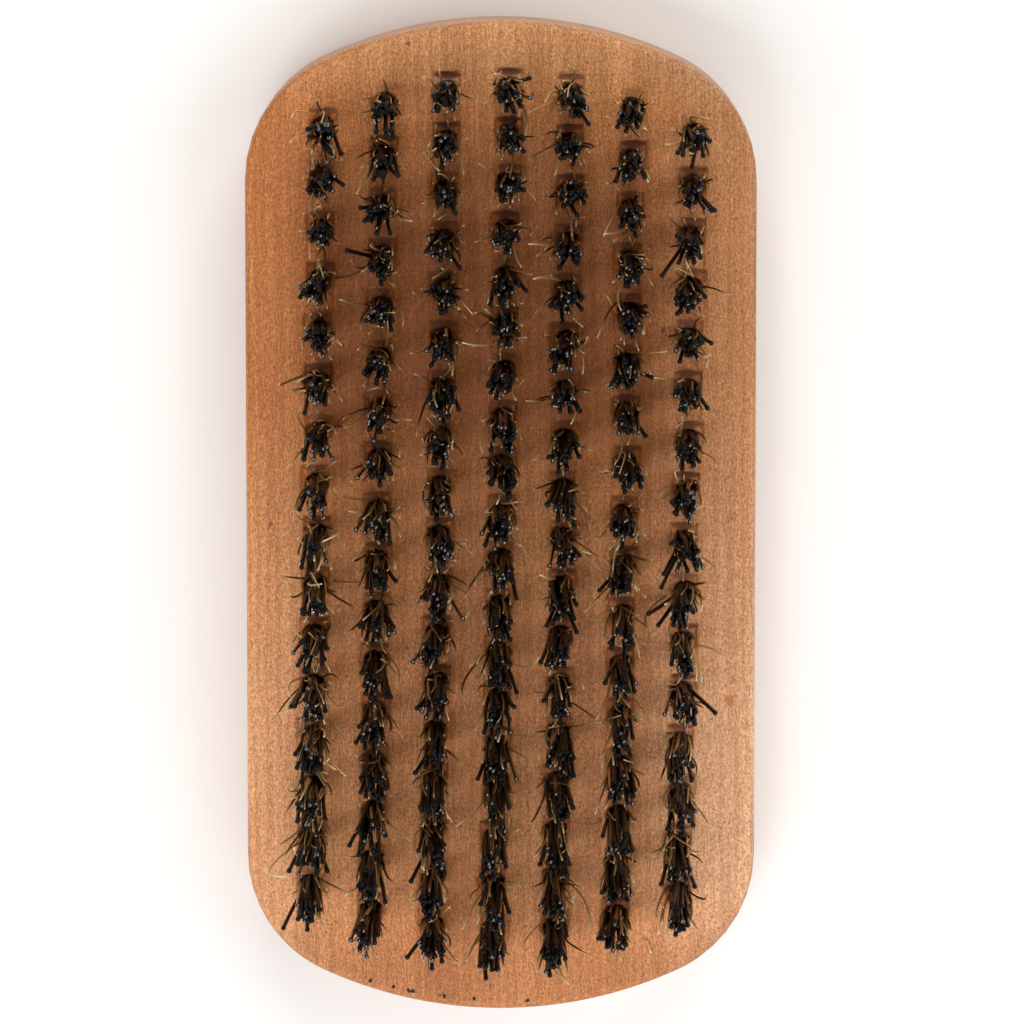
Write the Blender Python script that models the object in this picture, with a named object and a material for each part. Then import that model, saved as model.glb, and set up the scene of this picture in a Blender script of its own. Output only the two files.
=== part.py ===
"""Beard brush: a palm-held wooden block with seven rows of bristle tufts.

Each tuft is a bundle folded double in its own blind hole, and a small flat wire anchor, driven
through the fold, holds it there. The object is modelled in metres, +Z up, with its origin at the
centre of the block's flat back and +Y along the block.
"""

import math

import bpy
import numpy as np

# Block
BLOCK_LENGTH = 0.125
BLOCK_WIDTH = 0.064
BLOCK_THICKNESS = 0.016
END_RADIUS = 0.053  # the shallow arc across each end
CORNER_RADIUS = 0.0165  # the arc between an end and a side
FACE_ROUND = 0.0009  # round-over of the rim around the bristled face
BACK_ROUND = 0.0025  # softer round-over against the palm

# Bristle field
ROW_COUNT = 7
ROW_SPACING = 0.00774
CENTRE_ROW_TUFTS = 19  # each row further out has one tuft fewer
END_MARGIN = 0.0092  # from the block's end to the middle of a row's last tuft
FIELD_SKEW = math.radians(1.1)  # the drilled field is turned a little in the block
FIELD_SHIFT = 0.0008  # and sits a little towards the +Y end

# Holes and tufts
HOLE_DIAMETER = 0.0030
HOLE_DEPTH = 0.0095
BRISTLE_HEIGHT = 0.015  # from the face to the tips
TIP_SPLAY = 0.0002  # how far the bundle's side spreads outwards on its way to the tips
CROSSING_HEIGHT = 0.0012  # band under the tips in which neighbouring tufts of a row cross

# Anchors
ANCHOR_LENGTH = 0.0038  # longer than the hole is wide, so that both ends bite into the wood
ANCHOR_HEIGHT = 0.0016
ANCHOR_THICKNESS = 0.0003
ANCHOR_LINK = 0.0006  # height of the strip that joins the anchors of a row
FOLD_THICKNESS = 0.0008  # bristle under the anchor

PIECE_GAP = 0.0003  # clearance between pieces that touch

# Facets
END_STEPS = 6  # of half an end arc
CORNER_STEPS = 8
FACE_ROUND_STEPS = 2
BACK_ROUND_STEPS = 3
BUNDLE_SIDES = 6
SMOOTH_UP_TO = math.radians(40)

# Base colour, roughness and metallic value
WOOD = ((0.52, 0.21, 0.08), 0.5, 0.0)
BRISTLE = ((0.030, 0.017, 0.010), 0.55, 0.0)
ANCHOR_STEEL = ((0.55, 0.54, 0.52), 0.35, 1.0)


def clear_scene():
    for obj in list(bpy.data.objects):
        bpy.data.objects.remove(obj)


def make_material(name, colour, roughness, metallic):
    material = bpy.data.materials.new(name)
    material.use_nodes = True
    shader = material.node_tree.nodes["Principled BSDF"]
    shader.inputs["Base Color"].default_value = (*colour, 1.0)
    shader.inputs["Roughness"].default_value = roughness
    shader.inputs["Metallic"].default_value = metallic
    return material


def add_object(name, points, faces, parent=None, location=(0.0, 0.0, 0.0), material=None):
    mesh = bpy.data.meshes.new(name)
    mesh.from_pydata(np.asarray(points).tolist(), [], faces)
    mesh.shade_smooth()
    mesh.set_sharp_from_angle(angle=SMOOTH_UP_TO)
    if material:
        mesh.materials.append(material)
    obj = bpy.data.objects.new(name, mesh)
    obj.parent = parent
    obj.location = location
    bpy.context.scene.collection.objects.link(obj)
    return obj


def add_cutter(name, points, faces, parent, location):
    cutter = add_object(name, points, faces, parent, location)
    cutter.hide_render = True
    cutter.display_type = "WIRE"
    return cutter


def cut(obj, cutter):
    modifier = obj.modifiers.new(cutter.name, "BOOLEAN")
    modifier.operation = "DIFFERENCE"
    modifier.object = cutter


def band_quads(low, high, count):
    """Outward quads between two rings of count points that start at the indices low and high."""
    return [
        (low + i, low + (i + 1) % count, high + (i + 1) % count, high + i) for i in range(count)
    ]


def loft(rings):
    """Points and faces of the closed body through equal rings, each counter-clockwise from its far end."""
    count = len(rings[0])
    last = (len(rings) - 1) * count
    faces = [tuple(range(count))[::-1]]
    for low in range(0, last, count):
        faces += band_quads(low, low + count, count)
    faces.append(tuple(range(last, last + count)))
    return np.concatenate(rings), faces


def join_lofts(lofts):
    """Several separate lofted bodies as the points and faces of one mesh."""
    points, faces, start = [], [], 0
    for loft_points, loft_faces in lofts:
        points.append(loft_points)
        faces += [tuple(start + i for i in face) for face in loft_faces]
        start += len(loft_points)
    return np.concatenate(points), faces


def at_height(flat_points, z):
    """Points (x, y) lifted to the height z."""
    return np.column_stack([flat_points, np.full(len(flat_points), z)])


def arc(centre, radius, angles):
    return np.asarray(centre) + radius * np.column_stack([np.cos(angles), np.sin(angles)])


def corner_arc():
    """Centre of the first quadrant's corner arc, and the angle from +Y at which the end arc meets it."""
    reach = END_RADIUS - CORNER_RADIUS
    centre_x = BLOCK_WIDTH / 2 - CORNER_RADIUS
    meeting_angle = math.asin(centre_x / reach)
    centre_y = BLOCK_LENGTH / 2 - END_RADIUS + reach * math.cos(meeting_angle)
    return (centre_x, centre_y), meeting_angle


def outline(inset):
    """The block seen from above, counter-clockwise from the +X side, its edge moved inwards by inset."""
    centre, meeting_angle = corner_arc()
    meeting = math.pi / 2 - meeting_angle
    end_centre = (0.0, BLOCK_LENGTH / 2 - END_RADIUS)
    corner = arc(centre, CORNER_RADIUS - inset, np.linspace(0, meeting, CORNER_STEPS + 1))
    end = arc(end_centre, END_RADIUS - inset, np.linspace(meeting, math.pi / 2, END_STEPS + 1)[1:])
    quarter = np.concatenate([corner, end])
    half = np.concatenate([quarter, quarter[-2::-1] * (-1, 1)])
    return np.concatenate([half, -half])


def end_reach(x):
    """How far the block reaches along +Y at the distance x from its middle line."""
    (centre_x, centre_y), meeting_angle = corner_arc()
    x = abs(x)
    if x < END_RADIUS * math.sin(meeting_angle):
        return BLOCK_LENGTH / 2 - END_RADIUS + math.sqrt(END_RADIUS**2 - x**2)
    return centre_y + math.sqrt(CORNER_RADIUS**2 - (x - centre_x) ** 2)


def block_rings():
    """The outline carried up the side, round the back's and the face's rounded rims."""
    back = np.linspace(0, math.pi / 2, BACK_ROUND_STEPS + 1)
    face = np.linspace(0, math.pi / 2, FACE_ROUND_STEPS + 1)
    insets = [*BACK_ROUND * (1 - np.sin(back)), *FACE_ROUND * (1 - np.cos(face))]
    heights = [*BACK_ROUND * (1 - np.cos(back)), *BLOCK_THICKNESS - FACE_ROUND * (1 - np.sin(face))]
    return [at_height(outline(inset), z) for inset, z in zip(insets, heights)]


def row_x(row):
    return (row - (ROW_COUNT - 1) / 2) * ROW_SPACING


def tuft_places(row):
    """Distances of a row's tufts along the row, the first nearest the -Y end."""
    tufts = CENTRE_ROW_TUFTS - abs(2 * row - (ROW_COUNT - 1)) // 2
    reach = end_reach(row_x(row)) - END_MARGIN
    return np.linspace(-reach, reach, tufts)


def bundle_ring(across_flats, y, z):
    """The bundle's many-sided section, with a flat facing each way along the row."""
    angles = 2 * math.pi / BUNDLE_SIDES * np.arange(BUNDLE_SIDES)
    corner_radius = across_flats / 2 / math.cos(math.pi / BUNDLE_SIDES)
    return at_height(arc((0.0, y), corner_radius, angles), z)


def anchor_base():
    """Height of the anchors' lower edge over the face, which is below it."""
    return -HOLE_DEPTH + PIECE_GAP + FOLD_THICKNESS + PIECE_GAP


def tuft_row_mesh(places):
    """Bundles from the bottoms of their holes to their tips, joined where neighbours cross near the tips.

    Each bundle has four rings: foot, face, start of the crossing band, tips. In the top band the two
    flats that face each other are left out, and four quads run from one bundle to the next.
    """
    root = HOLE_DIAMETER - 2 * PIECE_GAP
    crossing = BRISTLE_HEIGHT - CROSSING_HEIGHT
    crossing_width = root + 2 * TIP_SPLAY * crossing / BRISTLE_HEIGHT
    tip_width = root + 2 * TIP_SPLAY
    low_ring, high_ring = 2 * BUNDLE_SIDES, 3 * BUNDLE_SIDES
    bodies = []
    for y in places:
        rings = [
            bundle_ring(root, y, PIECE_GAP - HOLE_DEPTH),
            bundle_ring(root, y, 0.0),
            bundle_ring(crossing_width, y, crossing),
            bundle_ring(tip_width, y, BRISTLE_HEIGHT),
        ]
        bodies.append(loft(rings))
    points, faces = join_lofts(bodies)
    size = 4 * BUNDLE_SIDES
    removed = set()
    links = []
    for here in range(0, size * (len(places) - 1), size):
        there = here + size
        # Corners 1 and 2 bound the flat towards +Y, and corners 5 and 4 face them on the next bundle.
        low = (here + low_ring + 1, here + low_ring + 2, there + low_ring + 4, there + low_ring + 5)
        high = (here + high_ring + 1, here + high_ring + 2, there + high_ring + 4, there + high_ring + 5)
        removed |= {frozenset(low[:2] + high[:2]), frozenset(low[2:] + high[2:])}
        links += [low, high[::-1], (low[0], low[3], high[3], high[0]), (low[1], high[1], high[2], low[2])]
    return points, [face for face in faces if frozenset(face) not in removed] + links


def anchor_row_mesh(places):
    """The row's anchors, plates standing on edge along the row, with a low strip from one to the next."""
    half = ANCHOR_LENGTH / 2
    base = anchor_base()
    top = base + ANCHOR_HEIGHT
    strip = base + ANCHOR_LINK
    side = [(places[0] - half, base), (places[-1] + half, base)]
    for y in places[::-1]:
        side += [(y + half, strip), (y + half, top), (y - half, top), (y - half, strip)]
    side = np.array(side[:2] + side[3:-1])
    rings = [
        np.column_stack([np.full(len(side), x), side])
        for x in (-ANCHOR_THICKNESS / 2, ANCHOR_THICKNESS / 2)
    ]
    return loft(rings)


def hole_bodies(places):
    """Prisms that drill a row's blind holes and reach clear above the face."""
    return [
        loft([bundle_ring(HOLE_DIAMETER, y, -HOLE_DEPTH), bundle_ring(HOLE_DIAMETER, y, HOLE_DEPTH / 2)])
        for y in places
    ]


def passage_body(places):
    """The space of a row's anchors and their clearance, through the wood and through the tufts."""
    half_width = ANCHOR_THICKNESS / 2 + PIECE_GAP
    reach = places[-1] + ANCHOR_LENGTH / 2 + PIECE_GAP
    base = anchor_base() - PIECE_GAP
    top = base + ANCHOR_HEIGHT + 2 * PIECE_GAP
    section = np.array([(-half_width, -reach), (half_width, -reach), (half_width, reach), (-half_width, reach)])
    return loft([at_height(section, base), at_height(section, top)])


def move_body(body, x):
    points, faces = body
    return points + (x, 0.0, 0.0), faces


def build():
    clear_scene()
    wood = make_material("wood", *WOOD)
    bristle = make_material("bristle", *BRISTLE)
    anchor_steel = make_material("anchor_steel", *ANCHOR_STEEL)

    field = bpy.data.objects.new("bristle_field", None)
    field.location = (0.0, FIELD_SHIFT, BLOCK_THICKNESS)
    field.rotation_euler = (0.0, 0.0, -FIELD_SKEW)
    bpy.context.scene.collection.objects.link(field)

    rows = [(row_x(row), tuft_places(row)) for row in range(ROW_COUNT)]
    centre = (0.0, 0.0, 0.0)
    holes = join_lofts([move_body(body, x) for x, places in rows for body in hole_bodies(places)])
    passages = join_lofts([move_body(passage_body(places), x) for x, places in rows])
    hole_cutter = add_cutter("hole_cutter", *holes, field, centre)
    passage_cutter = add_cutter("passage_cutter", *passages, field, centre)

    block = add_object("wood_block", *loft(block_rings()), material=wood)
    cut(block, hole_cutter)
    cut(block, passage_cutter)
    for number, (x, places) in enumerate(rows, start=1):
        location = (x, 0.0, 0.0)
        tufts = add_object(f"tuft_row_{number}", *tuft_row_mesh(places), field, location, bristle)
        cut(tufts, passage_cutter)
        anchors = anchor_row_mesh(places)
        add_object(f"anchor_row_{number}", *anchors, field, location, anchor_steel)


build()
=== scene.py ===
"""Looks of the beard brush: a pressed and drilled beech block, and tufts of ball-tipped pins and boar bristle.

The frame gives every place: the block's box, and the middle of each tuft from the foot of its bundle. The block
is one surface on a grid that follows the drilled rows; every pin and bristle is a tube along its own curve.
"""

import math

import bpy
import numpy as np
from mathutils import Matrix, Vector


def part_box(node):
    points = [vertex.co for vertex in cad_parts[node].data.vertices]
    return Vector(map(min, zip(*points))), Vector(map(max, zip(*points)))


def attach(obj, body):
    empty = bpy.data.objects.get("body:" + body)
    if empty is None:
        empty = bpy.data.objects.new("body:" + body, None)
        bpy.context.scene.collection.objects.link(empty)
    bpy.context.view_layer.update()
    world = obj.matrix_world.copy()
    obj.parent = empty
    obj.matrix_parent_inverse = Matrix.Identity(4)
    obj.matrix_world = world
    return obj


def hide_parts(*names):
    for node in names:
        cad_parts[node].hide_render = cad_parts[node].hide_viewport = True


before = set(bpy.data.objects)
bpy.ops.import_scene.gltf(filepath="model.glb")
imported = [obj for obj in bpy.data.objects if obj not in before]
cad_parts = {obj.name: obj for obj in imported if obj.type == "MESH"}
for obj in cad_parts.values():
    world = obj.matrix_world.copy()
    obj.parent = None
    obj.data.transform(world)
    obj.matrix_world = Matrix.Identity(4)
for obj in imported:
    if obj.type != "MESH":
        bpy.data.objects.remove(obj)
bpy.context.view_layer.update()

SEED = 1893
ROWS = range(1, 8)

# Block, with the arcs of its outline as the frame has them
END_RADIUS = 0.053
CORNER_RADIUS = 0.0165
FACE_ROUND = 0.0009
BACK_ROUND = 0.0025
GRID_LINES_ALONG = 584
COLUMNS_TO_SIDE = 6

# Marks of the filling tool: each press starts a step ahead of its tuft and runs out towards the next one
PRESS_HALF_WIDTH = 0.00172
PRESS_AHEAD = 0.0025
PRESS_DEPTH = 0.0004
PRESS_RUN_OUT = 0.25
PRESS_EDGE = 0.00016
# Length of the painted shadow that each press's step casts behind it
STEP_SHADOW_LENGTH = 0.0011
PRESS_STRENGTHS = (0.45, 1.1)
PRESS_ASTRAY = 0.00012
FIRST_PRESS_STRENGTHS = (0.8, 0.3, 1.15, 1.0, 0.8, 0.35, 0.05)
HOLE_RADIUS = 0.00150
HOLE_DIP = 0.0016

# Plain beech, its rings and its specks
PITH_ASIDE = 0.021
PITH_DEPTH = 0.085
DARK_BEECH = (0.54, 0.199, 0.055, 1)
PALE_BEECH = (0.60, 0.241, 0.076, 1)
RING_COLOUR = (0.36, 0.115, 0.035, 1)
RING_STRENGTH = 0.2
SPECK_COLOUR = (0.12, 0.03, 0.015, 1)
SPECK_STRENGTH = 0.65

# Streaks: width, length and slant in degrees, and the tints between which they multiply the colour
SLANTING_FLECKS = (0.00013, 0.00042, -34)
STRAIGHT_FLECKS = (0.00018, 0.0012, -4)
SLANTING_SHARE = 0.68
FLECK_TINTS = ((0.58, 0.50, 0.41, 1), (1.46, 1.64, 2.05, 1))
LONG_GRAIN = (0.0007, 0.022, -1)
GRAIN_TINTS = ((0.90, 0.87, 0.84, 1), (1.07, 1.09, 1.12, 1))

# Slow tints of the face, most of them painted light and shade: where each begins and is full, and the tint it has
TUFTED_MIDDLE = -0.0025
TUFTED_REACH = (0.0185, 0.0245)
# Painted shade among the tufts: a little redder, less green and blue
TUFTED_SHADE_TINT = (1.03, 0.95, 0.86, 1)
# Painted sheen: paler and greyer over the -Y half, fading out at the very end, weaker among the tufts
SHEEN_FROM = (0.022, -0.036)
SHEEN_TO = (-0.058, -0.046)
SHEEN_MARGIN, SHEEN_TUFTED = 0.85, 0.5
SHEEN_TINT = (1.42, 1.72, 2.35, 1)
# Painted shade: darker among the far tufts
SHADED_MIDDLE = 0.026
SHADED_REACH = (0.008, 0.026)
SHADED_TINT = (0.66, 0.57, 0.48, 1)
# Painted shade on the right margin: darker and cooler
RIGHT_MARGIN = (0.020, 0.029)
RIGHT_SHADE_TINT = (0.85, 0.92, 1.04, 1)
LEFT_MARGIN = (-0.020, -0.027)
LEFT_FADE = (-0.004, 0.018)
LEFT_TINT = (0.92, 0.81, 0.71, 1)
FAR_END = (0.050, 0.058)
FAR_TINT = (1.0, 1.18, 1.42, 1)
NEAR_END = (-0.050, -0.058)
NEAR_TINT = (0.86, 0.88, 0.98, 1)

# Colours of the filling tool's marks: darker where pressed, partly painted shade; paler in the first press of each
# row, painted light; and the painted shadows cast by the steps
# Darker in the press marks: partly the pressed wood, partly painted shade between the tufts of a row
PRESSED_AND_SHADE_TINT = (0.81, 0.65, 0.52, 1)
FIRST_PRESS_FADE = (0.050, 0.0535)
# Painted light: the floor of each row's first press, at the +Y end, paler
FIRST_PRESS_LIGHT_COLOUR = (0.80, 0.42, 0.23, 1)
FIRST_PRESS_LIGHT_SHARE = 0.25
# Painted shadow under each step: a dark lens
STEP_SHADOW_COLOUR = (0.16, 0.052, 0.02, 1)
STEP_SHADOW_STRENGTH = 0.95

# Round-over and side: bands in shares of the round-over, and the side's tints, which fade downwards
SIDE_BAND = (0.3, 0.7)
SIDE_FADE = (0.007, 0.0135)
SIDE_STRENGTHS = (0.25, 0.85)
SANDED_TINT = (0.94, 1.22, 2.1, 1)
# Painted shade on the side towards the -Y end
NEAR_SIDE_SHADE_TINT = (0.42, 0.34, 0.45, 1)
NEAR_SIDE_SHADE_FROM = (-0.03, -0.052)
POLISH_STARTS = (0.01, 0.08)
POLISH_ENDS = (0.5, 0.3)

# Blots in the wood, just under the face: middle, reach, strength and colour of each
BLOT_LEVEL = 0.0001
BLOTS = (
    ((0.0288, -0.0230), 0.0009, 0.7, (0.42, 0.12, 0.02, 1)),
    ((0.0040, 0.0533), 0.0004, 0.75, (0.24, 0.02, 0.02, 1)),
    ((0.0108, 0.0573), 0.0003, 0.6, (0.22, 0.02, 0.02, 1)),
    ((-0.0165, -0.0588), 0.00034, 1.0, (0.012, 0.004, 0.003, 1)),
    ((-0.0136, -0.0596), 0.00032, 1.0, (0.012, 0.004, 0.003, 1)),
    ((-0.0112, -0.0602), 0.00036, 1.0, (0.012, 0.004, 0.003, 1)),
    ((-0.0117, -0.0601), 0.00032, 1.0, (0.012, 0.004, 0.003, 1)),
    ((-0.0077, -0.0607), 0.00034, 1.0, (0.010, 0.004, 0.003, 1)),
    ((-0.0072, -0.0608), 0.00036, 1.0, (0.010, 0.004, 0.003, 1)),
    ((-0.0034, -0.0612), 0.00034, 1.0, (0.010, 0.004, 0.003, 1)),
    ((0.0033, -0.0613), 0.00036, 1.0, (0.010, 0.004, 0.003, 1)),
)

# Loose hairs on the wood: foot and tip, and the levels of these over the face
LOOSE_HAIR_LEVELS = (0.0001, 0.0004)
LOOSE_HAIRS = (
    ((0.0197, -0.0505), (0.0200, -0.0528)),
    ((0.0184, -0.0535), (0.0190, -0.0552)),
    ((0.0180, 0.0440), (0.0186, 0.0428)),
    ((-0.0180, -0.0470), (-0.0196, -0.0478)),
)

# Pins
ROOT_DEPTH = 0.0012
ROOT_RADIUS = 0.00132
PINS_PER_TUFT = 19
PIN_RADIUS = 0.00025
BALL_RADIUS = 0.000335
BALL_RINGS = 5
BALL_CLOSES = math.radians(72)
SHAFT_RINGS = 4
PIN_SIDES = 8
PIN_SHORTFALL = 0.0003
TIP_CLEARANCE = 0.0001
GLOSSY_SHARE = 0.2

# Slopes of pins, as run over rise: the lean that wear gave a tuft, and what sets one tuft or pin off from the rest
WORN_LEAN = 0.095
WORN_HALF = 0.03
INWARD_LEAN = 0.6
LEAN_SHARES = (0.1, 1.45)
TUFT_ASTRAY = 0.015
PIN_FLARE = 0.012
PIN_ASTRAY = 0.027
PIN_BEND = 0.015
WILD_SHARE = 0.07
WILD_SLOPE = 0.11
WILD_DROOP = 0.03
BENT_SPREAD = 0.22

# Boar bristle among the pins, at the rim and astray: how many, the foot's reach and crowding, the slope outwards and
# its spread, the spread of the bend and of the curl, and the ranges of length and tone; the tone is partly the
# bristle's own and partly painted light and shade, capped lower among the pins and high in the curls
BOAR_KINDS = (
    (8, 1.0, 0.5, 0.02, 0.028, 0.04, 0.05, (0.7, 0.99), (0.0, 0.85)),
    (13, 1.1, 0.15, 0.06, 0.115, 0.10, 0.12, (0.15, 0.8), (0.0, 1.0)),
    (2, 1.1, 0.1, 0.10, 0.22, 0.14, 0.18, (0.3, 0.66), (0.2, 1.0)),
)
CURLED_BOAR = (7, 1.0, 0.3, 0.05, 0.05, 0.10, 0.22, (0.65, 0.97), (0.85, 1.0))
CURLED_ROW = 1
CURLED_BETWEEN = (-0.042, 0.0)
BOAR_RADIUS = 0.00013
BOAR_RADII = (0.85, 1.35)
BOAR_SIDES = 4
BOAR_STATIONS = 10
BOAR_DROOP = 0.3
MOST_ASTRAY = 0.7

# Pins that were bent in use: row, tuft counted from the +Y end, slope across, slope along, how many
BENT_PINS = (
    (1, 1, 0.10, -0.13, 5),
    (1, 16, -0.16, -0.14, 1),
    (2, 1, 0.02, -0.12, 7),
    (2, 3, -0.06, -0.20, 1),
    (2, 4, -0.26, 0.15, 1),
    (3, 11, 0.14, -0.14, 2),
    (3, 13, -0.12, -0.10, 4),
    (3, 14, -0.21, -0.21, 1),
    (3, 16, -0.20, -0.26, 1),
    (3, 18, -0.21, -0.08, 1),
    (5, 11, -0.13, -0.16, 2),
    (6, 1, -0.10, -0.10, 3),
    (7, 1, -0.07, -0.14, 4),
    (7, 2, -0.18, -0.12, 1),
    (7, 2, 0.13, -0.11, 3),
    (7, 3, -0.22, -0.20, 1),
    (7, 9, -0.14, -0.19, 3),
    (7, 10, -0.24, -0.21, 2),
    (7, 12, 0.23, -0.08, 2),
    (7, 15, -0.10, -0.13, 3),
)

CAMERA_DISTANCE = 0.85
CAMERA_TILT = math.radians(6.6)
CAMERA_LENS = 237.9
CAMERA_AIM = (0.0014, 0.0009)

# Soft square lights: direction from the block, distance, side, power and colour
LIGHTS = {
    "left": ((-1.0, -0.9, 1.3), 0.9, 0.75, 5.1, (1.0, 1.0, 1.0)),
    "far": ((0.1, 1.0, 0.85), 0.9, 0.6, 4.1, (1.0, 0.97, 0.92)),
    "near": ((0.25, -1.0, 1.0), 0.9, 0.75, 3.4, (1.0, 1.0, 1.0)),
    "right": ((1.0, 0.0, 0.95), 0.9, 0.75, 3.6, (1.0, 1.0, 1.0)),
    "overhead": ((-0.2, -0.3, 1.0), 1.0, 0.15, 0.7, (0.9, 0.95, 1.0)),
}
WORLD_STRENGTH = 0.05
FLOOR_REACH = 3.0


# Camera


def place_camera():
    """A long lens almost straight above the bristles, leaning a little towards the +Y end."""
    target = Vector((*CAMERA_AIM, block_top))
    towards = Vector((0.0, math.sin(CAMERA_TILT), math.cos(CAMERA_TILT)))
    camera = bpy.data.objects.new("camera", bpy.data.cameras.new("camera"))
    camera.data.lens = CAMERA_LENS
    camera.data.sensor_width = 36.0
    camera.data.clip_end = 10.0
    camera.location = target + CAMERA_DISTANCE * towards
    camera.rotation_euler = (-CAMERA_TILT, 0.0, 0.0)
    bpy.context.scene.collection.objects.link(camera)
    bpy.context.scene.camera = camera


# Meshes


def add_piece(name, points, quads, extra_faces=(), material=None, attributes=None):
    """A mesh object from an array of points, an array of quads, and further faces with other corner counts."""
    faces = [np.asarray(quads)] + [np.asarray(face_set) for face_set in extra_faces]
    counts = np.concatenate([np.full(len(face_set), face_set.shape[1]) for face_set in faces])
    corners = np.concatenate([face_set.ravel() for face_set in faces])
    mesh = bpy.data.meshes.new(name)
    mesh.vertices.add(len(points))
    mesh.vertices.foreach_set("co", np.ascontiguousarray(points, np.float32).ravel())
    mesh.loops.add(len(corners))
    mesh.loops.foreach_set("vertex_index", corners.astype(np.int32))
    mesh.polygons.add(len(counts))
    mesh.polygons.foreach_set("loop_start", np.concatenate([[0], np.cumsum(counts)[:-1]]).astype(np.int32))
    for label, values in (attributes or {}).items():
        data = mesh.attributes.new(label, "FLOAT", "POINT").data
        data.foreach_set("value", np.ascontiguousarray(values, np.float32).ravel())
    mesh.update(calc_edges=True)
    mesh.shade_smooth()
    if material:
        mesh.materials.append(material)
    piece = bpy.data.objects.new(name, mesh)
    bpy.context.scene.collection.objects.link(piece)
    return piece


def smooth_step(value, low, high):
    """0 below low, 1 above high, and 3t² - 2t³ between them."""
    t = np.clip((value - low) / (high - low), 0.0, 1.0)
    return t * t * (3.0 - 2.0 * t)


def node_points(node):
    """Corners of a node's mesh in the frame."""
    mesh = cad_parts[node].data
    points = np.empty(len(mesh.vertices) * 3, np.float32)
    mesh.vertices.foreach_get("co", points)
    return points.reshape(-1, 3).astype(float)


def tuft_middles(row):
    """Middles (x, y) of a row's tufts, from the +Y end: the box of each group of corners at the bundles' feet."""
    points = node_points(f"tuft_row_{row}")
    feet = points[points[:, 2] < points[:, 2].min() + 1e-5, :2]
    feet = feet[np.argsort(-feet[:, 1])]
    breaks = np.flatnonzero(-np.diff(feet[:, 1]) > HOLE_RADIUS) + 1
    return np.array([(foot.min(0) + foot.max(0)) / 2 for foot in np.split(feet, breaks)])


high_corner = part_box("wood_block")[1]
half_width = high_corner.x
half_length = high_corner.y
block_top = high_corner.z
tips_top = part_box("tuft_row_4")[1].z
middles = {row: tuft_middles(row) for row in ROWS}
field_line = middles[4][0] - middles[4][-1]
skew = field_line[0] / field_line[1]
along_row = field_line / np.linalg.norm(field_line)
across_row = np.array([along_row[1], -along_row[0]])
row_starts = {row: np.mean(middles[row][:, 0] - skew * middles[row][:, 1]) for row in ROWS}

corner_x = half_width - CORNER_RADIUS
end_y = half_length - END_RADIUS
meeting_angle = math.asin(corner_x / (END_RADIUS - CORNER_RADIUS))
corner_y = end_y + (END_RADIUS - CORNER_RADIUS) * math.cos(meeting_angle)


# Wooden block


def reach_of(x):
    """Height of the outline, drawn in by the face's round-over, over the middle line: end arc, then corner arc."""
    x = np.abs(x)
    end = end_y + np.sqrt(np.maximum((END_RADIUS - FACE_ROUND) ** 2 - x**2, 0.0))
    corner = corner_y + np.sqrt(np.maximum((CORNER_RADIUS - FACE_ROUND) ** 2 - (x - corner_x) ** 2, 0.0))
    return np.where(x < (END_RADIUS - FACE_ROUND) * math.sin(meeting_angle), end, corner)


def outward(points):
    """Unit normals of the outline: away from the end arc's middle, the corner arc's middle, or straight sideways."""
    x, y = points.T
    from_end = np.column_stack([x, y - np.sign(y) * end_y])
    from_corner = np.column_stack([x - np.sign(x) * corner_x, y - np.sign(y) * corner_y])
    sideways = np.column_stack([np.sign(x), np.zeros(len(x))])
    on_end = np.abs(x) < (END_RADIUS - FACE_ROUND) * math.sin(meeting_angle)
    on_side = np.abs(y) <= corner_y
    normals = np.where(on_side[:, None], sideways, np.where(on_end[:, None], from_end, from_corner))
    return normals / np.linalg.norm(normals, axis=1, keepdims=True)


def grid_columns():
    """Where the grid's columns cross the middle line: close together at the edges of each row's press marks."""
    beside = np.array([0.0, 0.55, 1.05, 1.4, 1.6, 1.74, 1.88, 2.3]) / 1000
    rows = [start + np.concatenate([-beside[:0:-1], beside]) for start in row_starts.values()]
    between = [np.linspace(a[-1], b[0], 5)[1:-1] for a, b in zip(rows, rows[1:])]
    side = half_width - FACE_ROUND
    turn = np.sin(np.linspace(0, math.pi / 2, COLUMNS_TO_SIDE + 1)[1:])
    left = rows[0][0] + (-side - rows[0][0]) * turn
    right = rows[-1][-1] + (side - rows[-1][-1]) * turn
    columns = np.sort(np.concatenate([*rows, *between, left, right]))
    lean = np.interp(columns, [-side, rows[0][0], rows[-1][-1], side], [0.0, skew, skew, 0.0])
    return columns, lean


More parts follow.
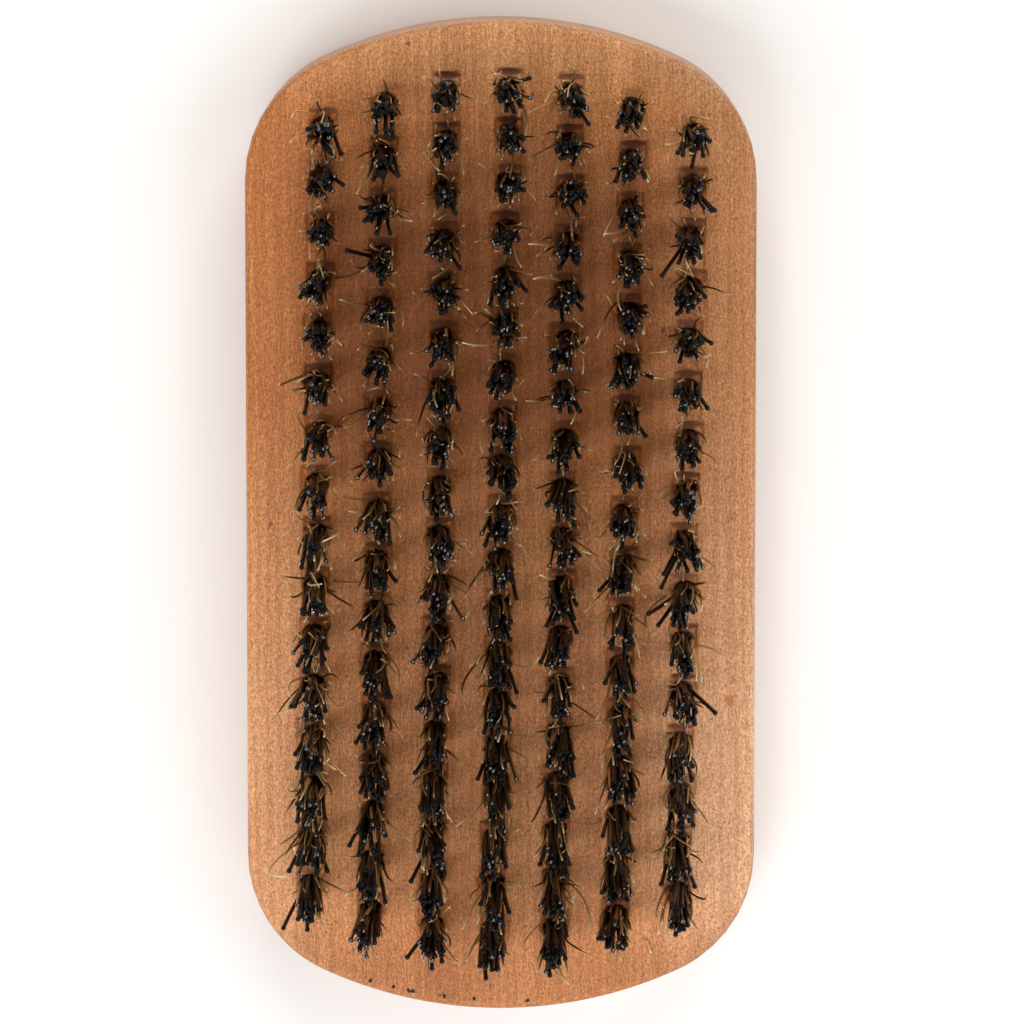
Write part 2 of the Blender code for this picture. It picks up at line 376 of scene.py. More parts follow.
def press_depth(x, y):
    """How deep the filling tool pressed the wood at (x, y), and how strong the painted shadow cast by its step is
    there.

    Along a row each press begins with a sharp step ahead of its tuft, is deepest there, and rises evenly to its
    run-out share of that depth at the next step. Across the row it ends in two short walls. The painted step shadow
    is a
    lens: it reaches back from the step by its length times one less the square of the share of the half-width.
    """
    depth, step_shadow = np.zeros_like(x), np.zeros_like(x)
    for row in ROWS:
        rng = np.random.default_rng(SEED + row)
        tufts = middles[row]
        first = tufts[0]
        along = (first[0] - x) * along_row[0] + (first[1] - y) * along_row[1] + PRESS_AHEAD
        across = (x - first[0]) * across_row[0] + (y - first[1]) * across_row[1]
        pitch = np.linalg.norm(tufts[0] - tufts[-1]) / (len(tufts) - 1)
        number = np.clip(np.floor(along / pitch), 0, len(tufts) - 1).astype(int)
        strength = rng.uniform(*PRESS_STRENGTHS, len(tufts))
        strength[0] = FIRST_PRESS_STRENGTHS[row - 1]
        sideways = rng.normal(0.0, PRESS_ASTRAY, len(tufts))
        off_middle = np.abs(across - sideways[number])
        behind = along - number * pitch
        fall = 1.0 - (1.0 - PRESS_RUN_OUT) * np.clip(behind / pitch, 0.0, 1.0)
        step = smooth_step(behind, 0.0, PRESS_EDGE) * (1.0 - smooth_step(behind, pitch - PRESS_EDGE, pitch))
        wall = 1.0 - smooth_step(off_middle, PRESS_HALF_WIDTH - PRESS_EDGE, PRESS_HALF_WIDTH + PRESS_EDGE / 2)
        inside = (along > 0.0) & (behind < pitch)
        press = PRESS_DEPTH * strength[number] * fall * step * wall
        depth = np.maximum(depth, np.where(inside, press, 0.0))
        # Painted shadow cast by the step: a lens just behind it
        reach = STEP_SHADOW_LENGTH * (1.0 - (off_middle / PRESS_HALF_WIDTH) ** 2)
        off_step_shadow = np.abs(behind - 0.4 * STEP_SHADOW_LENGTH)
        lens = 1.0 - smooth_step(off_step_shadow, 0.25 * reach, 0.7 * np.maximum(reach, 1e-5))
        step_shadow = np.maximum(step_shadow, np.where(inside & (reach > 0.0), strength[number] * lens, 0.0))
    return depth, step_shadow


def hole_dip(x, y):
    """The mouths of the drilled holes, as dips with a steep rim and a flat floor."""
    dip = np.zeros_like(x)
    for row in ROWS:
        for middle_x, middle_y in middles[row]:
            near = np.flatnonzero(np.maximum(np.abs(x - middle_x), np.abs(y - middle_y)) < 2 * HOLE_RADIUS)
            reach = np.hypot(x[near] - middle_x, y[near] - middle_y)
            dip[near] = HOLE_DIP * (1.0 - smooth_step(reach, 0.8 * HOLE_RADIUS, HOLE_RADIUS))
    return dip


def make_block(material):
    """The face is a grid whose columns run along the rows between the outline's two ends; from its rim, rings go
    round the face's round-over, down the side and round the back's, to one flat face."""
    columns, lean = grid_columns()
    high, low = reach_of(columns), -reach_of(columns)
    for _ in range(6):
        high, low = reach_of(columns + lean * high), -reach_of(columns + lean * low)
    share = np.linspace(0.0, 1.0, GRID_LINES_ALONG + 1)
    y = low[:, None] + (high - low)[:, None] * share
    x = columns[:, None] + lean[:, None] * y
    flat_x, flat_y = x.ravel(), y.ravel()
    pressed, step_shadow = press_depth(flat_x, flat_y)
    face_z = block_top - np.maximum(pressed, hole_dip(flat_x, flat_y))
    face = np.column_stack([flat_x, flat_y, face_z])

    index = np.arange(len(face)).reshape(x.shape)
    corners = (index[:-1, :-1], index[1:, :-1], index[1:, 1:], index[:-1, 1:])
    quads = [np.column_stack([corner.ravel() for corner in corners])]
    rim = np.concatenate([index[:, 0], index[-1, 1:], index[-2::-1, -1], index[0, -2:0:-1]])
    rim_points = face[rim, :2]
    normals = outward(rim_points)

    turn = np.linspace(0.0, math.pi / 2, 6)[1:]
    back_turn = np.linspace(0.0, math.pi / 2, 8)
    offsets = [*FACE_ROUND * np.sin(turn), *FACE_ROUND - BACK_ROUND * (1 - np.cos(back_turn))]
    heights = [*block_top - FACE_ROUND * (1 - np.cos(turn)), *BACK_ROUND * (1 - np.sin(back_turn))]
    rings = [
        np.column_stack([rim_points + offset * normals, np.full(len(rim), z)])
        for offset, z in zip(offsets, heights)
    ]
    ring_index = [rim] + [len(face) + number * len(rim) + np.arange(len(rim)) for number in range(len(rings))]
    for upper, lower in zip(ring_index, ring_index[1:]):
        quads.append(np.column_stack([upper, lower, np.roll(lower, -1), np.roll(upper, -1)]))
    back = ring_index[-1][::-1][None, :]
    rest = np.zeros(len(rim) * len(rings))
    marks = {"pressed": np.concatenate([pressed / PRESS_DEPTH, rest]), "step_shadow": np.concatenate([step_shadow, rest])}
    points = np.concatenate([face, *rings])
    return add_piece("block_wood", points, np.concatenate(quads), [back], material, marks)


# Pins and bristles


def tubes(paths, radii, sides):
    """Tubes round many curves at once: paths (tube, station, xyz), radii (tube, station).

    Each ring lies in the plane across its curve, spanned by the curve's normal towards +X and the one at right
    angles to it. Both ends close on one point.
    """
    tangents = np.gradient(paths, axis=1)
    tangents /= np.linalg.norm(tangents, axis=2, keepdims=True)
    first = np.cross((0.0, 1.0, 0.0), tangents)
    first /= np.linalg.norm(first, axis=2, keepdims=True)
    second = np.cross(tangents, first)
    angles = 2 * math.pi / sides * np.arange(sides)
    circle = np.cos(angles)[:, None] * first[:, :, None, :] + np.sin(angles)[:, None] * second[:, :, None, :]
    rings = paths[:, :, None, :] + radii[:, :, None, None] * circle
    count, stations = radii.shape
    start = paths[:, :1] - tangents[:, :1] * radii[:, :1, None] * 0.5
    end = paths[:, -1:] + tangents[:, -1:] * radii[:, -1:, None] * 0.5
    points = np.concatenate([rings.reshape(count, -1, 3), start, end], axis=1)

    size = stations * sides + 2
    base = size * np.arange(count)[:, None]
    ring = (sides * np.arange(stations)[:, None] + np.arange(sides)).ravel()
    turned = (sides * np.arange(stations)[:, None] + (np.arange(sides) + 1) % sides).ravel()
    body = slice(0, sides * (stations - 1))
    quad = np.column_stack([ring[body], turned[body], turned[body] + sides, ring[body] + sides])
    foot = np.column_stack([turned[:sides], ring[:sides], np.full(sides, size - 2)])
    tip = np.column_stack([ring[-sides:], turned[-sides:], np.full(sides, size - 1)])
    place = base[:, :, None]
    return (
        points.reshape(-1, 3),
        (quad[None] + place).reshape(-1, 4),
        (np.concatenate([foot, tip])[None] + place).reshape(-1, 3),
    )


def in_disc(rng, count, radius, crowding=0.5):
    """Points spread over a disc: radius times a random share to the power crowding, at a random angle."""
    distance = radius * rng.random(count) ** crowding
    angle = rng.uniform(0.0, 2 * math.pi, count)
    return np.column_stack([distance * np.cos(angle), distance * np.sin(angle)])


def curves(feet, slopes, bends, curls, lengths, shares):
    """Each curve leaves its foot at its slope, and goes off it by its bend times the square of the share of its
    length, and by its curl times the cube less the share itself.

    feet, slopes, bends and curls are (n, 2), the last three as run over rise, lengths (n,), shares (stations,).
    The rise is such that the straight distance to the tip is the curve's length.
    """
    rise = lengths / np.sqrt(1.0 + np.sum((slopes + bends) ** 2, axis=1))
    run = slopes[:, None, :] * shares[:, None] + bends[:, None, :] * shares[:, None] ** 2
    run = run + curls[:, None, :] * (shares**3 - shares)[:, None]
    flat = feet[:, None, :] + rise[:, None, None] * run
    height = block_top - ROOT_DEPTH + rise[:, None] * shares
    return np.concatenate([flat, height[:, :, None]], axis=2)


def worn_lean(middle):
    """Slope of a worn tuft: more and more towards -Y from the middle to the -Y end, and a little inwards."""
    share = 1.0 - smooth_step(middle[1], -WORN_HALF, WORN_HALF)
    return np.array([-INWARD_LEAN * middle[0], -WORN_LEAN * share])


def pin_tufts(row):
    """Feet, slopes and bends of a row's pins: a bundle that leans as one, spreads a little, and has bent outliers."""
    rng = np.random.default_rng(SEED + 100 * row)
    feet, slopes, bends = [], [], []
    for middle in middles[row]:
        foot = in_disc(rng, PINS_PER_TUFT, ROOT_RADIUS)
        lean = worn_lean(middle) * rng.uniform(*LEAN_SHARES, (PINS_PER_TUFT, 1)) + rng.normal(0.0, TUFT_ASTRAY, 2)
        slope = lean + PIN_FLARE * foot / ROOT_RADIUS + rng.normal(0.0, PIN_ASTRAY, foot.shape)
        wild = rng.random(PINS_PER_TUFT) < WILD_SHARE
        slope[wild] += rng.uniform(-WILD_SLOPE, WILD_SLOPE, (wild.sum(), 2)) - (0.0, WILD_DROOP)
        feet.append(middle + foot)
        slopes.append(slope)
        bends.append(rng.normal(0.0, PIN_BEND, foot.shape))
    slopes = np.array(slopes)
    for bent_row, tuft, slope_across, slope_along, count in BENT_PINS:
        if bent_row == row:
            spread = rng.normal(1.0, BENT_SPREAD, (count, 2))
            spread[0] = 1.0
            slopes[tuft - 1, :count] = np.array([slope_across, slope_along]) * spread
    shortfall = np.abs(rng.normal(0.0, PIN_SHORTFALL, slopes.shape[0] * PINS_PER_TUFT))
    lengths = tips_top - block_top + ROOT_DEPTH - TIP_CLEARANCE - shortfall
    return np.concatenate(feet), slopes.reshape(-1, 2), np.concatenate(bends), lengths


def make_pins(row, material):
    """Straight pins with a melted ball: a tube whose last rings are those of a sphere, at sines of even angles."""
    feet, slopes, bends, lengths = pin_tufts(row)
    neck = -math.acos(PIN_RADIUS / BALL_RADIUS)
    turn = np.linspace(neck, BALL_CLOSES, BALL_RINGS)
    ball = 1.0 - (BALL_RADIUS - BALL_RADIUS * np.sin(turn)) / lengths.mean()
    shaft = np.linspace(0.0, ball[0], SHAFT_RINGS + 1)[:-1]
    shares = np.concatenate([shaft, ball])
    radii = np.concatenate([np.full(len(shaft), PIN_RADIUS), BALL_RADIUS * np.cos(turn)])
    paths = curves(feet, slopes, bends, 0.0 * bends, lengths, shares)
    points, quads, ends = tubes(paths, np.tile(radii, (len(feet), 1)), PIN_SIDES)
    rng = np.random.default_rng(SEED + 100 * row + 25)
    gloss = np.where(rng.random(len(feet)) < GLOSSY_SHARE, rng.uniform(0.7, 1.0, len(feet)), 0.0)
    per_pin = len(points) // len(feet)
    return add_piece(f"pins_row_{row}", points, quads, [ends], material, {"gloss": np.repeat(gloss, per_pin)})


def boar_tufts(row):
    """Feet, slopes, bends, curls, lengths and tones (partly painted light and shade) of a row's boar bristle, kind by
    kind in each tuft.
    """
    rng = np.random.default_rng(SEED + 100 * row + 50)
    full = tips_top - block_top + ROOT_DEPTH
    parts = []
    for middle in middles[row]:
        curled = row == CURLED_ROW and CURLED_BETWEEN[0] < middle[1] < CURLED_BETWEEN[1]
        kinds = (*BOAR_KINDS, CURLED_BOAR) if curled else BOAR_KINDS
        for count, reach, crowding, outwards, spread, bend, curl, length, tone_and_light in kinds:
            foot = in_disc(rng, count, reach * ROOT_RADIUS, crowding)
            slope = worn_lean(middle) + outwards * foot / ROOT_RADIUS + rng.normal(0.0, spread, foot.shape)
            slope *= np.minimum(1.0, MOST_ASTRAY / np.linalg.norm(slope, axis=1, keepdims=True))
            parts.append(
                np.column_stack([
                    middle + foot,
                    slope,
                    rng.normal((0.0, -BOAR_DROOP * bend), bend, foot.shape),
                    rng.normal(0.0, curl, foot.shape),
                    full * rng.uniform(*length, count),
                    rng.uniform(*tone_and_light, count),
                ])
            )
    columns = np.concatenate(parts)
    return columns[:, 0:2], columns[:, 2:4], columns[:, 4:6], columns[:, 6:8], columns[:, 8], columns[:, 9]


def make_boar(row, material):
    """Boar bristle: thin curved tubes that taper towards their tips, each with its own tone, partly painted light and
    shade.
    """
    rng = np.random.default_rng(SEED + 100 * row + 75)
    feet, slopes, bends, curls, lengths, tones_and_light = boar_tufts(row)
    shares = np.linspace(0.0, 1.0, BOAR_STATIONS)
    taper = 1.0 - 0.4 * smooth_step(shares, 0.6, 1.0)
    radii = BOAR_RADIUS * rng.uniform(*BOAR_RADII, (len(feet), 1)) * taper
    paths = curves(feet, slopes, bends, curls, lengths, shares)
    if row == ROWS[-1]:
        low, high = (block_top + level for level in LOOSE_HAIR_LEVELS)
        loose = np.array([[(*foot, low), (*tip, high)] for foot, tip in LOOSE_HAIRS])
        strays = loose[:, :1] + (loose[:, 1:] - loose[:, :1]) * shares[:, None]
        paths = np.concatenate([paths, strays])
        radii = np.concatenate([radii, np.full(strays.shape[:2], BOAR_RADIUS)])
        tones_and_light = np.concatenate([tones_and_light, np.ones(len(strays))])
    points, quads, ends = tubes(paths, radii, BOAR_SIDES)
    count = len(paths)
    rings = np.tile(np.repeat(shares, BOAR_SIDES), (count, 1))
    along = np.column_stack([rings, np.zeros(count), np.ones(count)])
    attributes = {"along": along, "tone_and_light": np.repeat(tones_and_light, along.shape[1])}
    return add_piece(f"boar_row_{row}", points, quads, [ends], material, attributes)


# Materials


def add_node(tree, kind, inputs=None, **settings):
    """A node with its settings, its inputs given as values or as the sockets that feed them."""
    node = tree.nodes.new(kind)
    for name, value in settings.items():
        setattr(node, name, value)
    for name, value in (inputs or {}).items():
        if isinstance(value, bpy.types.NodeSocket):
            tree.links.new(value, node.inputs[name])
        else:
            node.inputs[name].default_value = value
    return node


def calculate(tree, operation, *values, clamp=False):
    """The result of one sum on numbers or sockets."""
    return add_node(tree, "ShaderNodeMath", dict(enumerate(values)), operation=operation, use_clamp=clamp).outputs[0]


def product(tree, first, second):
    return calculate(tree, "MULTIPLY", first, second)


def remap(tree, value, low, high, to_low=0.0, to_high=1.0):
    """The value carried from one range to another along a smooth step."""
    inputs = {"Value": value, "From Min": low, "From Max": high, "To Min": to_low, "To Max": to_high}
    return add_node(tree, "ShaderNodeMapRange", inputs, interpolation_type="SMOOTHSTEP").outputs["Result"]


def mix(tree, factor, first, second, blend="MIX"):
    """The first colour going over to the second, or to their product with the blend MULTIPLY, as the factor grows."""
    node = add_node(tree, "ShaderNodeMix", data_type="RGBA", blend_type=blend)
    for socket, value in zip((node.inputs[0], node.inputs[6], node.inputs[7]), (factor, first, second)):
        if isinstance(value, bpy.types.NodeSocket):
            tree.links.new(value, socket)
        else:
            socket.default_value = value
    return node.outputs[2]


def tinted(tree, mask, colour, tint):
    """The colour, multiplied by the tint where the mask is 1."""
    return mix(tree, mask, colour, tint, "MULTIPLY")


def stretched(tree, vector, scale):
    return add_node(tree, "ShaderNodeMapping", {"Vector": vector, "Scale": scale}).outputs[0]


def object_place(tree):
    return add_node(tree, "ShaderNodeTexCoord").outputs["Object"]


def own_value(tree, name):
    """A number that the piece's mesh carries at each point."""
    return add_node(tree, "ShaderNodeAttribute", attribute_name=name).outputs["Fac"]


def noise(tree, vector, scale, detail=2.0, roughness=0.5, distortion=0.0):
    inputs = {"Vector": vector, "Scale": scale, "Detail": detail, "Roughness": roughness, "Distortion": distortion}
    return add_node(tree, "ShaderNodeTexNoise", inputs).outputs["Fac"]


def new_group(name, inputs, output):
    """An empty shader group and its input and output sockets: a float for each input's value, a vector for None."""
    group = bpy.data.node_groups.new(name, "ShaderNodeTree")
    for label, value in inputs.items():
        kind = "NodeSocketVector" if value is None else "NodeSocketFloat"
        socket = group.interface.new_socket(label, in_out="INPUT", socket_type=kind)
        if value is not None:
            socket.default_value = value
    group.interface.new_socket(output, in_out="OUTPUT", socket_type="NodeSocketFloat")
    return group, group.nodes.new("NodeGroupInput").outputs, group.nodes.new("NodeGroupOutput").inputs[output]


def use_group(tree, group, **inputs):
    """The output of a group with these values or sockets on its inputs."""
    labels = {name.capitalize(): value for name, value in inputs.items()}
    return add_node(tree, "ShaderNodeGroup", labels, node_tree=group).outputs[0]


def ring_group():
    """Growth rings: smooth bands of the distance from a pith line far under the block, warped by slow noise."""
    group, given, made = new_group("growth_rings", {"Vector": None, "Spacing": 0.0035, "Warp": 0.004}, "Rings")
    slow = noise(group, stretched(group, given["Vector"], (1.0, 0.25, 1.0)), 45.0, 2.0)
    parts = add_node(group, "ShaderNodeSeparateXYZ", {0: given["Vector"]}).outputs
    across = calculate(group, "POWER", calculate(group, "ADD", parts["X"], PITH_ASIDE), 2.0)
    up = calculate(group, "POWER", calculate(group, "ADD", parts["Z"], PITH_DEPTH), 2.0)
    radius = calculate(group, "SQRT", calculate(group, "ADD", across, up))
    warped = calculate(group, "ADD", radius, product(group, slow, given["Warp"]))
    phase = calculate(group, "FRACT", calculate(group, "DIVIDE", warped, given["Spacing"]))
    rise = remap(group, phase, 0.15, 0.86)
    fall = remap(group, phase, 0.9, 1.0, 1.0, 0.0)
    group.links.new(product(group, rise, fall), made)
    return group


def fleck_group():
    """Streaks of the wood, for slanting ray flecks or long grain: noise drawn out along Y, turned by the slant."""
    sizes = {"Vector": None, "Width": 0.00018, "Length": 0.0006, "Slant": 0.0}
    group, given, made = new_group("ray_flecks", sizes, "Flecks")
    turn = {"Vector": given["Vector"], "Angle": given["Slant"]}
    turned = add_node(group, "ShaderNodeVectorRotate", turn, rotation_type="Z_AXIS").outputs[0]
    across = calculate(group, "DIVIDE", 1.0, given["Width"])
    along = calculate(group, "DIVIDE", 1.0, given["Length"])
    scale = add_node(group, "ShaderNodeCombineXYZ", {"X": across, "Y": along, "Z": across}).outputs[0]
    drawn = add_node(group, "ShaderNodeVectorMath", {0: turned, 1: scale}, operation="MULTIPLY").outputs[0]
    group.links.new(remap(group, noise(group, drawn, 1.0, 2.0, 0.6, 0.2), 0.36, 0.64), made)
    return group


def speck_group():
    """A few tiny dark specks: the cores of sparse cells, of which only a share is kept by the cell's own colour."""
    sizes = {"Vector": None, "Spacing": 0.006, "Size": 0.06, "Share": 0.4}
    group, given, made = new_group("specks", sizes, "Specks")
    density = calculate(group, "DIVIDE", 1.0, given["Spacing"])
    cells = add_node(group, "ShaderNodeTexVoronoi", {"Vector": given["Vector"], "Scale": density}).outputs
    core = remap(group, cells["Distance"], product(group, given["Size"], 0.6), given["Size"], 1.0, 0.0)
    lot = add_node(group, "ShaderNodeSeparateColor", {0: cells["Color"]}).outputs[0]
    chosen = calculate(group, "LESS_THAN", lot, given["Share"])
    group.links.new(product(group, core, chosen), made)
    return group


def blot_group():
    """One blot: from 1 within half its reach of its middle to 0 at its reach, with an edge frayed by noise."""
    group, given, made = new_group("blot", {"Vector": None, "Middle": None, "Reach": 0.001}, "Mask")
    ends = {0: given["Vector"], 1: given["Middle"]}
    distance = add_node(group, "ShaderNodeVectorMath", ends, operation="DISTANCE").outputs["Value"]
    share = calculate(group, "DIVIDE", distance, given["Reach"])
    frayed = calculate(group, "ADD", share, remap(group, noise(group, given["Vector"], 1500.0), 0.3, 0.7, -0.3, 0.3))
    group.links.new(remap(group, frayed, 0.5, 1.0, 1.0, 0.0), made)
    return group


def between(tree, value, inner, outer):
    """1 where the value is nearer to 0 than inner, 0 beyond outer."""
    return remap(tree, calculate(tree, "ABSOLUTE", value), inner, outer, 1.0, 0.0)


def new_material(name):
    material = bpy.data.materials.new(name)
    material.use_nodes = True
    tree = material.node_tree
    return material, tree, tree.nodes["Principled BSDF"]


def below_face(tree, height, first, second):
    """Smooth step of the height from the first share of the face's round-over, at 0, to the second, at 1."""
    return remap(tree, height, block_top - first * FACE_ROUND, block_top - second * FACE_ROUND)


def wood_streaks(tree, flecks, place, width, length, slant):
    """Streaks of a width, length and slant in degrees."""
    return use_group(tree, flecks, vector=place, width=width, length=length, slant=math.radians(slant))


def plain_beech(tree, place, broad, rings, flecks, specks):
    """Colour of the new wood, and its flecks: two tones, growth rings, flecks at two slants, long grain, specks."""
    colour = mix(tree, remap(tree, broad, 0.3, 0.7), DARK_BEECH, PALE_BEECH)
    ring = use_group(tree, rings, vector=place)
    colour = mix(tree, product(tree, ring, RING_STRENGTH), colour, RING_COLOUR)
    slanting = product(tree, wood_streaks(tree, flecks, place, *SLANTING_FLECKS), SLANTING_SHARE)
    straight = product(tree, wood_streaks(tree, flecks, place, *STRAIGHT_FLECKS), 1.0 - SLANTING_SHARE)
    fleck = calculate(tree, "ADD", slanting, straight)
    colour = tinted(tree, 1.0, colour, mix(tree, fleck, *FLECK_TINTS))
    grain = wood_streaks(tree, flecks, place, *LONG_GRAIN)
    colour = tinted(tree, 1.0, colour, mix(tree, grain, *GRAIN_TINTS))
    speck = use_group(tree, specks, vector=place)
    return mix(tree, product(tree, speck, SPECK_STRENGTH), colour, SPECK_COLOUR), fleck


def beech_with_painted_light(tree, parts, colour):
    """Painted sheen towards -Y, painted shade among the tufts, more among the far ones, and on the right; tints at
    left and ends.
    """
    x, y = parts["X"], parts["Y"]
    # The field between the outer rows, with a redder tint of painted shade
    tufted = between(tree, calculate(tree, "SUBTRACT", x, TUFTED_MIDDLE), *TUFTED_REACH)
    # Painted sheen towards the -Y end
    sheen = product(tree, remap(tree, y, *SHEEN_FROM), remap(tree, y, *SHEEN_TO))
    sheen = product(tree, sheen, remap(tree, tufted, 0.0, 1.0, SHEEN_MARGIN, SHEEN_TUFTED))
    # Painted shade among the far tufts
    shaded = product(tree, tufted, between(tree, calculate(tree, "SUBTRACT", y, SHADED_MIDDLE), *SHADED_REACH))
    left = product(tree, remap(tree, x, *LEFT_MARGIN), remap(tree, y, *LEFT_FADE))
    for mask, tint in (
        (sheen, SHEEN_TINT),
        (tufted, TUFTED_SHADE_TINT),
        (shaded, SHADED_TINT),
        (remap(tree, x, *RIGHT_MARGIN), RIGHT_SHADE_TINT),
        (left, LEFT_TINT),
        (remap(tree, y, *FAR_END), FAR_TINT),
        (remap(tree, y, *NEAR_END), NEAR_TINT),
    ):
        colour = tinted(tree, mask, colour, tint)
    return colour


def marked_beech(tree, place, parts, blots, pressed, colour):
    """Blots, then the filling tool's marks: darker, partly painted shade, a paler first press of painted light, and
    painted step shadows.
    """
    for middle, reach, strength, tint in BLOTS:
        mask = use_group(tree, blots, vector=place, middle=(*middle, block_top - BLOT_LEVEL), reach=reach)
        colour = mix(tree, product(tree, mask, strength), colour, tint)
    # Pressed wood, darker, partly painted shade between the tufts
    pressed_and_shaded = tinted(tree, 1.0, colour, PRESSED_AND_SHADE_TINT)
    # Painted light on the first presses
    first_press_light = mix(tree, FIRST_PRESS_LIGHT_SHARE, colour, FIRST_PRESS_LIGHT_COLOUR)
    colour = mix(tree, pressed, colour, mix(tree, remap(tree, parts["Y"], *FIRST_PRESS_FADE), pressed_and_shaded, first_press_light))
    # Painted shadows cast by the steps
    return mix(tree, product(tree, own_value(tree, "step_shadow"), STEP_SHADOW_STRENGTH), colour, STEP_SHADOW_COLOUR)


def sided_beech(tree, parts, colour):
    """The side, from the round-over down: pale where sanded, darker towards -Y with painted shade, the tint fading
    downwards.
    """
    sanded = tinted(tree, 1.0, colour, SANDED_TINT)
    # Painted shade on the side towards -Y
    side_shade = tinted(tree, 1.0, colour, NEAR_SIDE_SHADE_TINT)
    side = mix(tree, remap(tree, parts["Y"], *NEAR_SIDE_SHADE_FROM), sanded, side_shade)
    fade = remap(tree, parts["Z"], *SIDE_FADE, *SIDE_STRENGTHS)
    return mix(tree, product(tree, below_face(tree, parts["Z"], *SIDE_BAND), fade), colour, side)


def wood_material(rings, flecks, specks, blots):
    """Satin beech: rosy tan with growth rings, pale and dark ray flecks and specks, duller in the pressed marks and
    polished on the turn of the edge."""
    material, tree, shader = new_material("satin_beech")
    place = object_place(tree)
    parts = add_node(tree, "ShaderNodeSeparateXYZ", {0: place}).outputs
    broad = noise(tree, stretched(tree, place, (1.0, 0.45, 1.0)), 38.0, 3.0)
    pressed = own_value(tree, "pressed")
    colour, fleck = plain_beech(tree, place, broad, rings, flecks, specks)
    colour = beech_with_painted_light(tree, parts, colour)
    colour = marked_beech(tree, place, parts, blots, pressed, colour)
    tree.links.new(sided_beech(tree, parts, colour), shader.inputs["Base Color"])
    starts = below_face(tree, parts["Z"], *POLISH_STARTS)
    polish = product(tree, starts, below_face(tree, parts["Z"], *POLISH_ENDS))
    rough = calculate(tree, "SUBTRACT", remap(tree, broad, 0.2, 0.8, 0.42, 0.54), product(tree, polish, 0.22))
    rough = calculate(tree, "ADD", rough, product(tree, pressed, 0.35), clamp=True)
    tree.links.new(rough, shader.inputs["Roughness"])
    bump = add_node(tree, "ShaderNodeBump", {"Height": fleck, "Strength": 0.4, "Distance": 0.00004})
    tree.links.new(bump.outputs[0], shader.inputs["Normal"])
    shader.inputs["Specular IOR Level"].default_value = 0.3
    return material


def pin_material():
    """Black nylon, a little dusty: dull on most pins, glossy on a few."""
    material, tree, shader = new_material("black_nylon")
    place = object_place(tree)
    dust = noise(tree, place, 900.0, 2.0)
    colour = mix(tree, remap(tree, dust, 0.45, 0.8), (0.003, 0.003, 0.0035, 1), (0.014, 0.010, 0.008, 1))
    gloss = own_value(tree, "gloss")
    tree.links.new(colour, shader.inputs["Base Color"])
    tree.links.new(remap(tree, gloss, 0.0, 1.0, 0.42, 0.15), shader.inputs["Roughness"])
    tree.links.new(gloss, shader.inputs["Coat Weight"])
    shader.inputs["Coat Roughness"].default_value = 0.06
    shader.inputs["Coat IOR"].default_value = 2.2
    shader.inputs["Specular IOR Level"].default_value = 0.16
    return material


def boar_material():
    """Boar bristle: brown at the root and fawn towards a pale, frayed tip; from one to the next lighter or darker,
    partly painted light and shade.
    """
    material, tree, shader = new_material("boar_bristle")
    along = own_value(tree, "along")
    tone_and_light = own_value(tree, "tone_and_light")
    # The spread from dark brown to golden stands partly for painted light and shade
    body = mix(tree, remap(tree, tone_and_light, 0.15, 0.95), (0.09, 0.038, 0.013, 1), (0.72, 0.44, 0.15, 1))
    tip = mix(tree, tone_and_light, (0.50, 0.29, 0.10, 1), (0.88, 0.70, 0.42, 1))
    colour = mix(tree, remap(tree, along, 0.72, 1.0), body, tip)
    colour = mix(tree, remap(tree, along, 0.0, 0.25, 0.5, 0.0), colour, (0.08, 0.035, 0.012, 1))
    tree.links.new(colour, shader.inputs["Base Color"])
    tree.links.new(remap(tree, tone_and_light, 0.0, 1.0, 0.38, 0.5), shader.inputs["Roughness"])
    shader.inputs["Specular IOR Level"].default_value = 0.3
    return material


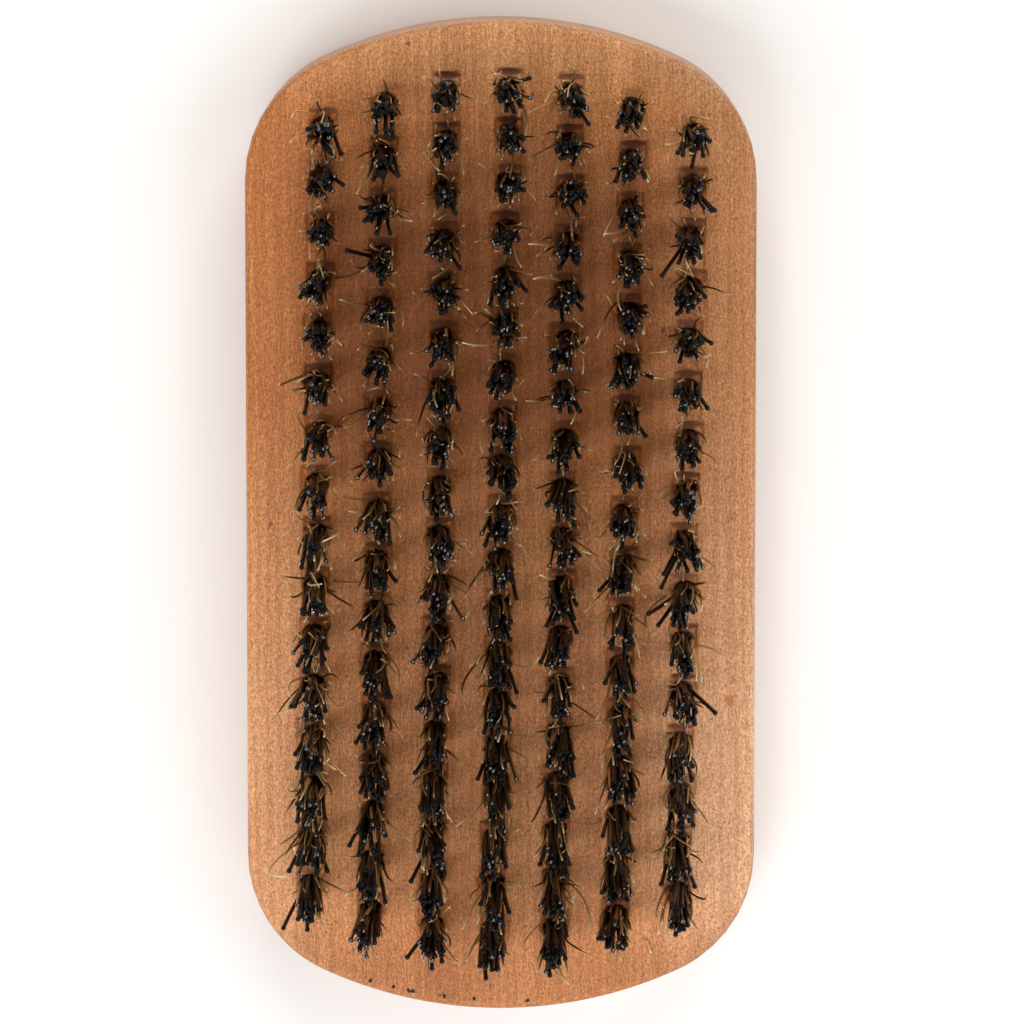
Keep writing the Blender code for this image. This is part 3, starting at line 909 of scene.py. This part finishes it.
def anchor_material():
    """Drawn steel wire: long fine streaks along the row."""
    material, tree, shader = new_material("drawn_steel")
    place = object_place(tree)
    streaks = noise(tree, stretched(tree, place, (1.0, 0.04, 1.0)), 9000.0, 3.0)
    colour = mix(tree, streaks, (0.42, 0.41, 0.39, 1), (0.62, 0.61, 0.59, 1))
    tree.links.new(colour, shader.inputs["Base Color"])
    tree.links.new(remap(tree, streaks, 0.2, 0.8, 0.28, 0.45), shader.inputs["Roughness"])
    shader.inputs["Metallic"].default_value = 1.0
    return material


def floor_material():
    """Pale matt floor with faint slow cloudiness."""
    material, tree, shader = new_material("pale_floor")
    place = object_place(tree)
    colour = mix(tree, noise(tree, place, 30.0), (0.92, 0.91, 0.895, 1), (0.95, 0.94, 0.925, 1))
    tree.links.new(colour, shader.inputs["Base Color"])
    shader.inputs["Roughness"].default_value = 0.9
    return material


# Stage


def add_light(name, towards, distance, size, power, colour):
    """A square soft light that looks at the block from the direction towards."""
    data = bpy.data.lights.new(name, "AREA")
    data.size = size
    data.energy = power
    data.color = colour
    light = bpy.data.objects.new(name, data)
    direction = Vector(towards).normalized()
    light.location = Vector((0.0, 0.0, block_top)) + distance * direction
    light.rotation_euler = direction.to_track_quat("Z", "Y").to_euler()
    bpy.context.scene.collection.objects.link(light)


def make_stage():
    """The floor, the lights and a faint white world."""
    reach = FLOOR_REACH
    corners = np.array([(-reach, -reach, 0), (reach, -reach, 0), (reach, reach, 0), (-reach, reach, 0)])
    floor = add_piece("floor", corners, np.array([[0, 1, 2, 3]]), material=floor_material())
    world = bpy.data.worlds.new("studio")
    world.use_nodes = True
    background = world.node_tree.nodes["Background"].inputs
    background["Color"].default_value = (1.0, 1.0, 1.0, 1.0)
    background["Strength"].default_value = WORLD_STRENGTH
    bpy.context.scene.world = world
    for name, settings in LIGHTS.items():
        add_light(name, *settings)
    bpy.context.scene.view_settings.view_transform = "Standard"


def make_brush():
    """The block, and each row's pins, boar bristle and anchors."""
    wood = wood_material(ring_group(), fleck_group(), speck_group(), blot_group())
    nylon = pin_material()
    boar = boar_material()
    steel = anchor_material()
    block = make_block(wood)
    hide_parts("wood_block")
    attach(block, "root")
    for row in ROWS:
        for piece in (make_pins(row, nylon), make_boar(row, boar)):
            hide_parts(f"tuft_row_{row}")
            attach(piece, "root")
        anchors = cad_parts[f"anchor_row_{row}"].data
        anchors.materials.clear()
        anchors.materials.append(steel)


place_camera()
make_brush()
make_stage()
